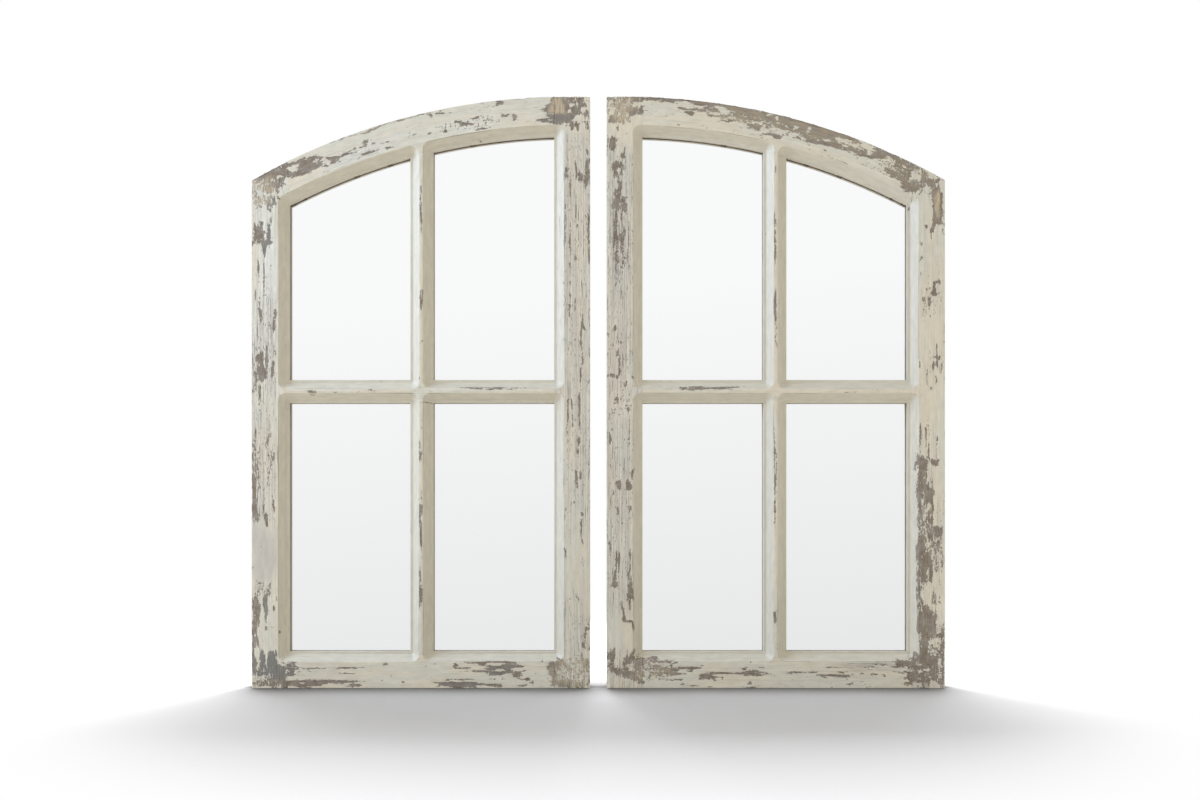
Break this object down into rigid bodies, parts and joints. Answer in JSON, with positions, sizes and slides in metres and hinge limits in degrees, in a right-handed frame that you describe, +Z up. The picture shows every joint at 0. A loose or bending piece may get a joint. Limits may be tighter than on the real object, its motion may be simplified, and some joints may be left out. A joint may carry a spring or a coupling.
{
  "type": "arched window mirror",
  "caption": "Pair of half-arch sash-style mirrors in moulded, distressed wooden frames with muntins, that stand or hang side by side to make one arch.",
  "frame": {"origin": "on the floor, midway between the two leaves and midway through the depth from the painted face to the backs of the wall bumpers", "axes": "+X to the right across the pair, the mirrors face -Y, +Z up"},
  "size_m": [1.25, 0.042, 1.067],
  "materials": {
    "painted_wood": "chalky off-white paint, chipped and rubbed through to grey-brown wood",
    "mirror_glass": "plain silvered float glass",
    "hardboard": "bare brown hardboard",
    "zinc_steel": "bright zinc plate",
    "rubber": "matt black rubber"
  },
  "bodies": {
    "left_leaf": {"left_arched_head_rail": "painted_wood", "left_backing_board": "hardboard", "left_board_screws": "zinc_steel", "left_bottom_rail": "painted_wood", "left_cross_muntin": "painted_wood", "left_hanger_screws": "zinc_steel", "left_lower_meeting_mirror": "mirror_glass", "left_lower_muntin": "painted_wood", "left_lower_outer_mirror": "mirror_glass", "left_meeting_hanger_strap": "zinc_steel", "left_meeting_stile": "painted_wood", "left_outer_hanger_strap": "zinc_steel", "left_outer_stile": "painted_wood", "left_upper_meeting_mirror": "mirror_glass", "left_upper_muntin": "painted_wood", "left_upper_outer_mirror": "mirror_glass", "left_wall_bumpers": "rubber"},
    "right_leaf": {"right_arched_head_rail": "painted_wood", "right_backing_board": "hardboard", "right_board_screws": "zinc_steel", "right_bottom_rail": "painted_wood", "right_cross_muntin": "painted_wood", "right_hanger_screws": "zinc_steel", "right_lower_meeting_mirror": "mirror_glass", "right_lower_muntin": "painted_wood", "right_lower_outer_mirror": "mirror_glass", "right_meeting_hanger_strap": "zinc_steel", "right_meeting_stile": "painted_wood", "right_outer_hanger_strap": "zinc_steel", "right_outer_stile": "painted_wood", "right_upper_meeting_mirror": "mirror_glass", "right_upper_muntin": "painted_wood", "right_upper_outer_mirror": "mirror_glass", "right_wall_bumpers": "rubber"},
    "left_meeting_ring": {"left_meeting_hanger_ring": "zinc_steel"},
    "left_outer_ring": {"left_outer_hanger_ring": "zinc_steel"},
    "right_meeting_ring": {"right_meeting_hanger_ring": "zinc_steel"},
    "right_outer_ring": {"right_outer_hanger_ring": "zinc_steel"}
  },
  "joints": [
    {"name": "leaf_spacing", "type": "slide", "parent": "left_leaf", "child": "right_leaf", "axis": [1, 0, 0], "range_m": [-0.029, 0.3]},
    {"name": "left_meeting_ring_swing", "type": "hinge", "parent": "left_leaf", "child": "left_meeting_ring", "pos_m": [-0.0385, 0.01715, 0.75], "axis": [1, 0, 0], "range_deg": [0, 180]},
    {"name": "left_outer_ring_swing", "type": "hinge", "parent": "left_leaf", "child": "left_outer_ring", "pos_m": [-0.6015, 0.01715, 0.75], "axis": [1, 0, 0], "range_deg": [0, 180]},
    {"name": "right_meeting_ring_swing", "type": "hinge", "parent": "right_leaf", "child": "right_meeting_ring", "pos_m": [0.0385, 0.01715, 0.75], "axis": [1, 0, 0], "range_deg": [0, 180]},
    {"name": "right_outer_ring_swing", "type": "hinge", "parent": "right_leaf", "child": "right_outer_ring", "pos_m": [0.6015, 0.01715, 0.75], "axis": [1, 0, 0], "range_deg": [0, 180]}
  ]
}
